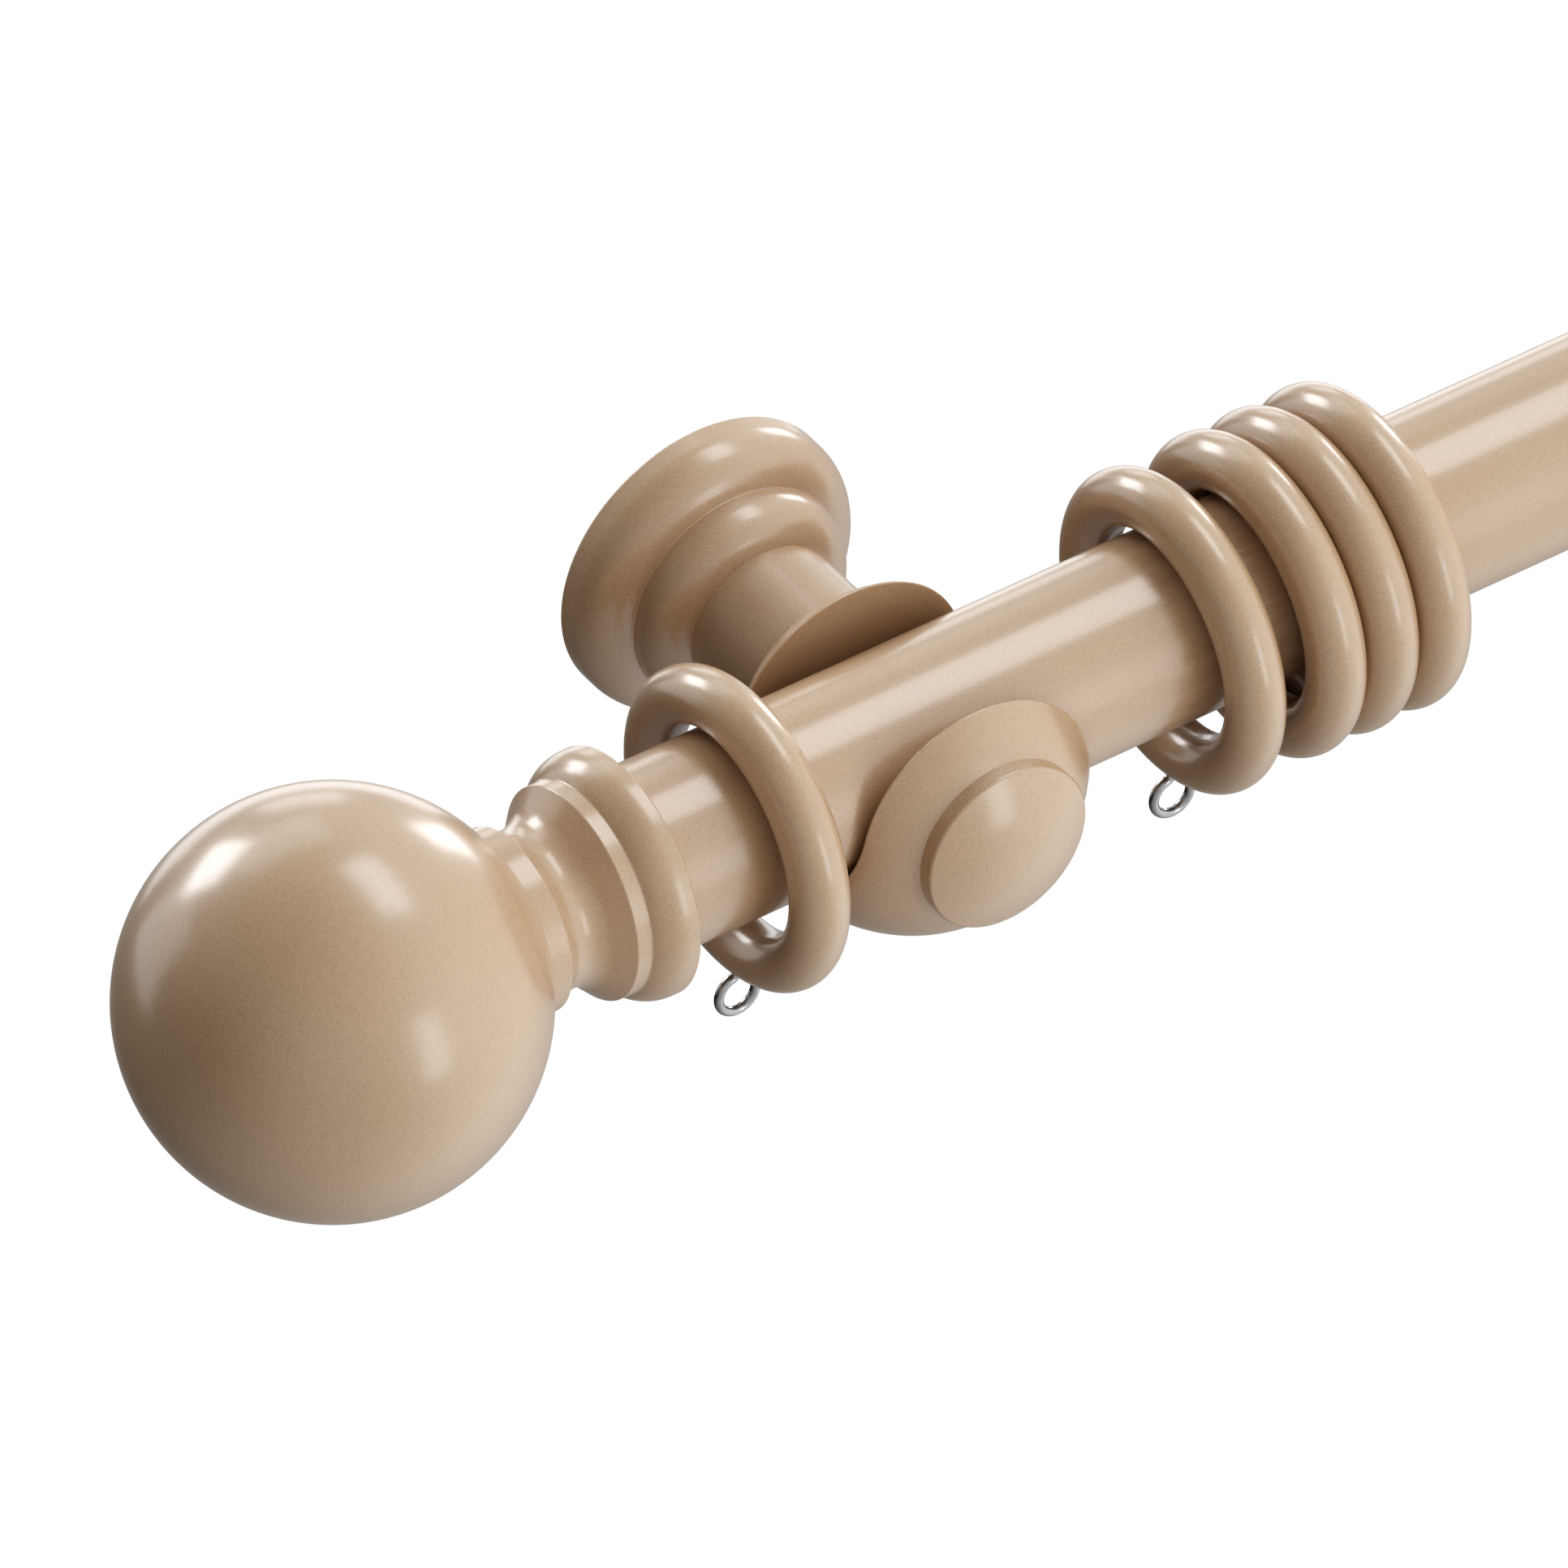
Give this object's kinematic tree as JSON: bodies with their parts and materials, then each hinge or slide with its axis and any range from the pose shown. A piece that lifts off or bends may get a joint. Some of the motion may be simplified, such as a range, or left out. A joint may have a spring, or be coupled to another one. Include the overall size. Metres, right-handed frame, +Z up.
{
  "type": "wooden curtain rod",
  "caption": "Round wooden curtain pole with turned ball finials, carried in cup brackets on wall roses, with sliding wooden rings that hold screw eyes for curtain hooks.",
  "frame": {"origin": "midway between the two hanger bolts, on the wall plane", "axes": "+X along the pole, +Y into the wall, +Z up"},
  "size_m": [1.1618, 0.0985, 0.0672],
  "materials": {
    "lacquered_wood": "satin beige lacquer",
    "bright_wire": "bright plated",
    "zinc_steel": "zinc plated"
  },
  "bodies": {
    "rod": {"pole": "lacquered_wood", "finial_left": "lacquered_wood", "finial_screw_left": "zinc_steel", "bracket_arm_left": "lacquered_wood", "wall_rose_left": "lacquered_wood", "hanger_bolt_left": "zinc_steel", "lock_screw_left": "zinc_steel", "finial_right": "lacquered_wood", "finial_screw_right": "zinc_steel", "bracket_arm_right": "lacquered_wood", "wall_rose_right": "lacquered_wood", "hanger_bolt_right": "zinc_steel", "lock_screw_right": "zinc_steel"},
    "left_ring_1": {"ring_left_1": "lacquered_wood", "screw_eye_left_1": "bright_wire"},
    "left_ring_2": {"ring_left_2": "lacquered_wood", "screw_eye_left_2": "bright_wire"},
    "left_ring_3": {"ring_left_3": "lacquered_wood", "screw_eye_left_3": "bright_wire"},
    "left_ring_4": {"ring_left_4": "lacquered_wood", "screw_eye_left_4": "bright_wire"},
    "left_ring_5": {"ring_left_5": "lacquered_wood", "screw_eye_left_5": "bright_wire"},
    "right_ring_1": {"ring_right_1": "lacquered_wood", "screw_eye_right_1": "bright_wire"},
    "right_ring_2": {"ring_right_2": "lacquered_wood", "screw_eye_right_2": "bright_wire"},
    "right_ring_3": {"ring_right_3": "lacquered_wood", "screw_eye_right_3": "bright_wire"},
    "right_ring_4": {"ring_right_4": "lacquered_wood", "screw_eye_right_4": "bright_wire"},
    "right_ring_5": {"ring_right_5": "lacquered_wood", "screw_eye_right_5": "bright_wire"}
  },
  "joints": [
    {"name": "left_ring_1_slide", "type": "slide", "parent": "rod", "child": "left_ring_1", "axis": [1, 0, 0], "range_m": [-0.01445, 0.00686]},
    {"name": "left_ring_2_slide", "type": "slide", "parent": "rod", "child": "left_ring_2", "axis": [1, 0, 0], "range_m": [-0.02166, 0.06692]},
    {"name": "left_ring_3_slide", "type": "slide", "parent": "left_ring_2", "child": "left_ring_3", "axis": [1, 0, 0], "range_m": [-0.0048, 0.09783]},
    {"name": "left_ring_4_slide", "type": "slide", "parent": "left_ring_3", "child": "left_ring_4", "axis": [1, 0, 0], "range_m": [0, 0.10262]},
    {"name": "left_ring_5_slide", "type": "slide", "parent": "left_ring_4", "child": "left_ring_5", "axis": [1, 0, 0], "range_m": [0, 0.10262]},
    {"name": "right_ring_1_slide", "type": "slide", "parent": "rod", "child": "right_ring_1", "axis": [-1, 0, 0], "range_m": [-0.01445, 0.00686]},
    {"name": "right_ring_2_slide", "type": "slide", "parent": "rod", "child": "right_ring_2", "axis": [-1, 0, 0], "range_m": [-0.02166, 0.06692]},
    {"name": "right_ring_3_slide", "type": "slide", "parent": "right_ring_2", "child": "right_ring_3", "axis": [-1, 0, 0], "range_m": [-0.0048, 0.09783]},
    {"name": "right_ring_4_slide", "type": "slide", "parent": "right_ring_3", "child": "right_ring_4", "axis": [-1, 0, 0], "range_m": [0, 0.10262]},
    {"name": "right_ring_5_slide", "type": "slide", "parent": "right_ring_4", "child": "right_ring_5", "axis": [-1, 0, 0], "range_m": [0, 0.10262]}
  ]
}
